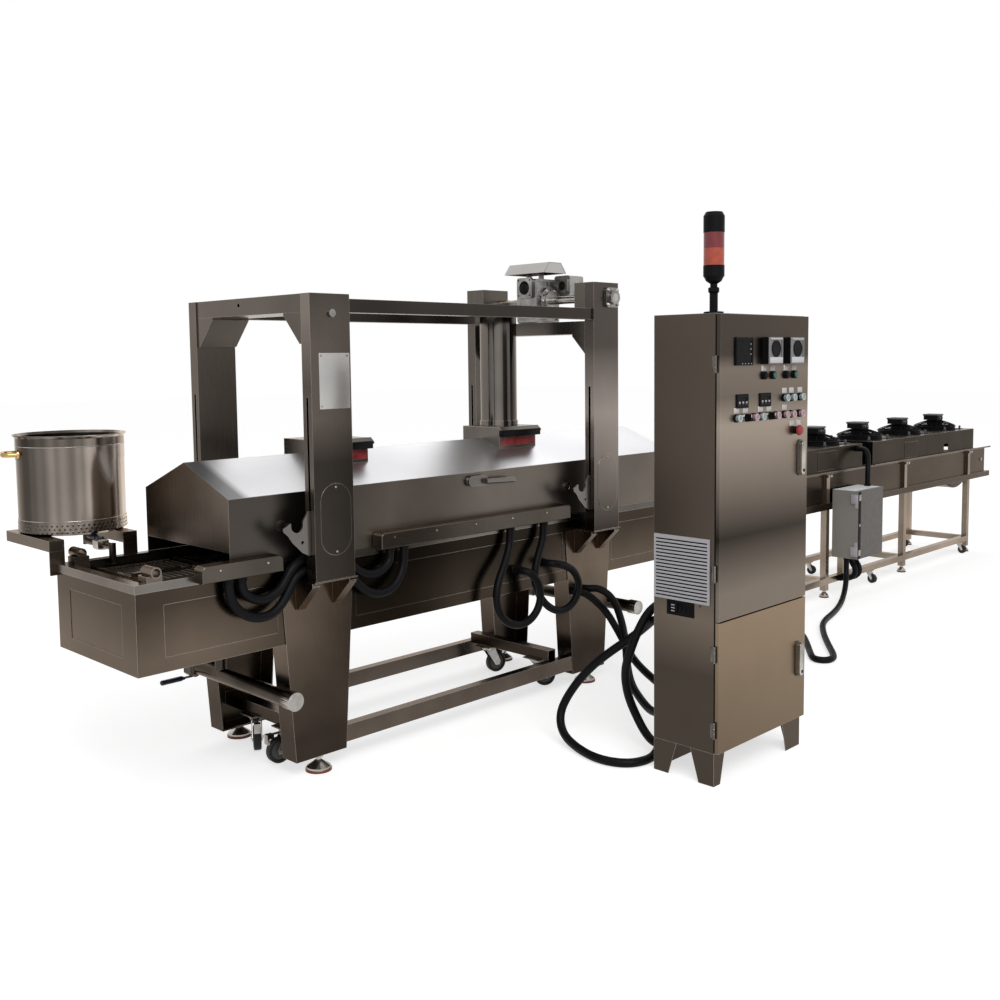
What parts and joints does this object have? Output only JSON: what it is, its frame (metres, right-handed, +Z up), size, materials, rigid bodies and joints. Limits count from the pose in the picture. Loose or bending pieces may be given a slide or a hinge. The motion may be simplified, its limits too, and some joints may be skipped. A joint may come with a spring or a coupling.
{
  "type": "conveyor fryer line",
  "caption": "Continuous electric fryer with a lifting gable hood under a gantry, a stock pot, a control cabinet and a fan cooling conveyor joined by conduits.",
  "frame": {"origin": "bottom centre of the box round the machines, on the floor under the levelling feet", "axes": "+X with the food from the fryer to the cooler, +Y to the back, away from the control cabinet, +Z up"},
  "size_m": [7.4809, 2.2586, 2.065],
  "materials": {
    "stainless": "brushed",
    "polished": "polished",
    "housing": "cast",
    "blue_sleeve": "gloss",
    "louvre": "satin",
    "switchgear": "matte",
    "black_plastic": "matte",
    "red_plastic": "gloss",
    "green_plastic": "gloss",
    "grey_paint": "satin",
    "black_paint": "satin",
    "conduit": "satin",
    "tyre": "matte",
    "zinc": "plated"
  },
  "bodies": {
    "frame": {"fryer_frame": "stainless", "levelling_feet": "polished", "oil_tank": "stainless", "gantry_frame": "stainless", "lift_drive": "housing", "heater_banks": "stainless", "conveyor_frame": "stainless", "fryer_belt": "stainless", "oil_pot": "polished", "pot_bracket": "stainless", "oil_pipework": "stainless", "cabinet_body": "stainless", "control_gear": "switchgear", "vent_grille": "louvre", "signal_tower": "red_plastic", "cooler_frame": "stainless", "cooler_trough": "stainless", "cooler_belt": "stainless", "fan_boxes": "stainless", "fan_units": "black_paint", "junction_box": "grey_paint", "heater_conduits": "conduit", "floor_conduits": "conduit", "junction_conduits": "conduit"},
    "hood": {"hood_shell": "stainless", "exhaust_boxes": "stainless"},
    "hooks": {"lift_hooks": "stainless"},
    "lift_shaft": {"lift_shaft": "polished"},
    "hood_lever": {"hood_lever": "stainless"},
    "rods_front": {"lift_rods_front": "polished"},
    "rods_back": {"lift_rods_back": "polished"},
    "fryer_drive": {"fryer_drive_shaft": "stainless"},
    "cooler_drive": {"cooler_drive_roller": "stainless"},
    "pot_valve": {"pot_valve_lever": "blue_sleeve"},
    "drain_valve": {"drain_valve_lever": "blue_sleeve"},
    "upper_door": {"upper_door": "stainless", "panel_instruments": "black_plastic"},
    "lower_door": {"lower_door": "stainless"},
    "upper_handle": {"upper_handle": "polished"},
    "lower_handle": {"lower_handle": "polished"},
    "junction_door": {"junction_door": "grey_paint"},
    "e_stop": {"e_stop": "red_plastic"},
    "stop_button_1": {"stop_button_1": "black_plastic"},
    "start_button_1": {"start_button_1": "green_plastic"},
    "stop_button_2": {"stop_button_2": "black_plastic"},
    "start_button_2": {"start_button_2": "green_plastic"},
    "selector_left": {"selector_left": "black_plastic"},
    "selector_right": {"selector_right": "black_plastic"},
    "castor_front_left": {"castor_fork_front_left": "zinc"},
    "wheel_front_left": {"castor_wheel_front_left": "tyre"},
    "castor_back_left": {"castor_fork_back_left": "zinc"},
    "wheel_back_left": {"castor_wheel_back_left": "tyre"},
    "castor_front_right": {"castor_fork_front_right": "zinc"},
    "wheel_front_right": {"castor_wheel_front_right": "tyre"},
    "castor_back_right": {"castor_fork_back_right": "zinc"},
    "wheel_back_right": {"castor_wheel_back_right": "tyre"},
    "cooler_castor_1": {"cooler_castor_1": "zinc"},
    "cooler_castor_2": {"cooler_castor_2": "zinc"},
    "cooler_castor_3": {"cooler_castor_3": "zinc"},
    "cooler_castor_4": {"cooler_castor_4": "zinc"}
  },
  "joints": [
    {"name": "hood_lift", "type": "slide", "parent": "frame", "child": "hood", "axis": [0, 0, 1], "range_m": [0, 0.4]},
    {"name": "hook_lift", "type": "slide", "parent": "frame", "child": "hooks", "axis": [0, 0, 1], "range_m": [0, 0.4]},
    {"name": "lift_shaft_turn", "type": "hinge", "parent": "frame", "child": "lift_shaft", "pos_m": [-1.35555, 0.3873, 1.82], "axis": [0, 1, 0], "range_deg": [0, 499]},
    {"name": "hood_lever_turn", "type": "hinge", "parent": "hood", "child": "hood_lever", "pos_m": [-2.15155, 0.0923, 1.032], "axis": [0, -1, 0], "range_deg": [0, 90]},
    {"name": "rods_front_slide", "type": "slide", "parent": "hood", "child": "rods_front", "axis": [0, -1, 0], "range_m": [0, 0.09]},
    {"name": "rods_back_slide", "type": "slide", "parent": "hood", "child": "rods_back", "axis": [0, 1, 0], "range_m": [0, 0.09]},
    {"name": "fryer_drive_spin", "type": "hinge", "parent": "frame", "child": "fryer_drive", "pos_m": [-0.55255, 0.3873, 0.716], "axis": [0, 1, 0], "continuous": true},
    {"name": "cooler_drive_spin", "type": "hinge", "parent": "frame", "child": "cooler_drive", "pos_m": [3.54445, 0.3873, 0.705], "axis": [0, 1, 0], "continuous": true},
    {"name": "pot_valve_turn", "type": "hinge", "parent": "frame", "child": "pot_valve", "pos_m": [-3.48555, 0.7133, 0.887], "axis": [0, 0, 1], "range_deg": [0, 90]},
    {"name": "drain_valve_turn", "type": "hinge", "parent": "frame", "child": "drain_valve", "pos_m": [-3.12755, 0.6843, 0.288], "axis": [0, 0, 1], "range_deg": [0, 90]},
    {"name": "upper_door_swing", "type": "hinge", "parent": "frame", "child": "upper_door", "pos_m": [-2.07755, -1.097, 0.603], "axis": [0, 0, -1], "range_deg": [0, 110]},
    {"name": "lower_door_swing", "type": "hinge", "parent": "frame", "child": "lower_door", "pos_m": [-2.07755, -1.097, 0.122], "axis": [0, 0, -1], "range_deg": [0, 110]},
    {"name": "upper_handle_turn", "type": "hinge", "parent": "upper_door", "child": "upper_handle", "pos_m": [-1.53255, -1.097, 1.205], "axis": [0, 1, 0], "range_deg": [0, 90]},
    {"name": "lower_handle_turn", "type": "hinge", "parent": "lower_door", "child": "lower_handle", "pos_m": [-1.52855, -1.097, 0.415], "axis": [0, 1, 0], "range_deg": [0, 90]},
    {"name": "junction_door_swing", "type": "hinge", "parent": "frame", "child": "junction_door", "pos_m": [1.43145, -0.037, 0.258], "axis": [0, 0, 1], "range_deg": [0, 120]},
    {"name": "e_stop_press", "type": "slide", "parent": "upper_door", "child": "e_stop", "axis": [0, 1, 0], "range_m": [0, 0.006]},
    {"name": "stop_button_1_press", "type": "slide", "parent": "upper_door", "child": "stop_button_1", "axis": [0, 1, 0], "range_m": [0, 0.005], "stiffness_N_per_m": 300},
    {"name": "start_button_1_press", "type": "slide", "parent": "upper_door", "child": "start_button_1", "axis": [0, 1, 0], "range_m": [0, 0.005], "stiffness_N_per_m": 300},
    {"name": "stop_button_2_press", "type": "slide", "parent": "upper_door", "child": "stop_button_2", "axis": [0, 1, 0], "range_m": [0, 0.005], "stiffness_N_per_m": 300},
    {"name": "start_button_2_press", "type": "slide", "parent": "upper_door", "child": "start_button_2", "axis": [0, 1, 0], "range_m": [0, 0.005], "stiffness_N_per_m": 300},
    {"name": "selector_left_turn", "type": "hinge", "parent": "upper_door", "child": "selector_left", "pos_m": [-1.92055, -1.097, 1.325], "axis": [0, 1, 0], "range_deg": [-45, 45]},
    {"name": "selector_right_turn", "type": "hinge", "parent": "upper_door", "child": "selector_right", "pos_m": [-1.76055, -1.097, 1.325], "axis": [0, 1, 0], "range_deg": [-45, 45]},
    {"name": "castor_swivel_front_left", "type": "hinge", "parent": "frame", "child": "castor_front_left", "pos_m": [-2.97055, 0.2773, 0.14], "axis": [0, 0, 1], "continuous": true},
    {"name": "wheel_spin_front_left", "type": "hinge", "parent": "castor_front_left", "child": "wheel_front_left", "pos_m": [-3.01039, 0.28079, 0.0515], "axis": [-0.0872, -0.9962, 0], "continuous": true},
    {"name": "castor_swivel_back_left", "type": "hinge", "parent": "frame", "child": "castor_back_left", "pos_m": [-2.97055, 0.4973, 0.14], "axis": [0, 0, 1], "continuous": true},
    {"name": "wheel_spin_back_left", "type": "hinge", "parent": "castor_back_left", "child": "wheel_back_left", "pos_m": [-2.99055, 0.46266, 0.0515], "axis": [0.866, -0.5, 0], "continuous": true},
    {"name": "castor_swivel_front_right", "type": "hinge", "parent": "frame", "child": "castor_front_right", "pos_m": [-1.60555, 0.2273, 0.14], "axis": [0, 0, 1], "continuous": true},
    {"name": "wheel_spin_front_right", "type": "hinge", "parent": "castor_front_right", "child": "wheel_front_right", "pos_m": [-1.57278, 0.20436, 0.0515], "axis": [0.5736, 0.8192, 0], "continuous": true},
    {"name": "castor_swivel_back_right", "type": "hinge", "parent": "frame", "child": "castor_back_right", "pos_m": [-1.60555, 0.5473, 0.14], "axis": [0, 0, 1], "continuous": true},
    {"name": "wheel_spin_back_right", "type": "hinge", "parent": "castor_back_right", "child": "wheel_back_right", "pos_m": [-1.56691, 0.53695, 0.0515], "axis": [0.2588, 0.9659, 0], "continuous": true},
    {"name": "cooler_castor_1_swivel", "type": "hinge", "parent": "frame", "child": "cooler_castor_1", "pos_m": [1.65445, 0.1593, 0.085], "axis": [0, 0, 1], "continuous": true},
    {"name": "cooler_castor_2_swivel", "type": "hinge", "parent": "frame", "child": "cooler_castor_2", "pos_m": [1.65445, 0.6153, 0.085], "axis": [0, 0, 1], "continuous": true},
    {"name": "cooler_castor_3_swivel", "type": "hinge", "parent": "frame", "child": "cooler_castor_3", "pos_m": [3.16445, 0.1593, 0.085], "axis": [0, 0, 1], "continuous": true},
    {"name": "cooler_castor_4_swivel", "type": "hinge", "parent": "frame", "child": "cooler_castor_4", "pos_m": [3.16445, 0.6153, 0.085], "axis": [0, 0, 1], "continuous": true}
  ],
  "couplings": [
    {"joint": "hook_lift", "follows": "hood_lift", "ratio": 1},
    {"joint": "lift_shaft_turn", "follows": "hood_lift", "rad_per_m": 21.739},
    {"joint": "rods_front_slide", "follows": "hood_lever_turn", "m_per_rad": 0.05729},
    {"joint": "rods_back_slide", "follows": "hood_lever_turn", "m_per_rad": 0.05729}
  ]
}
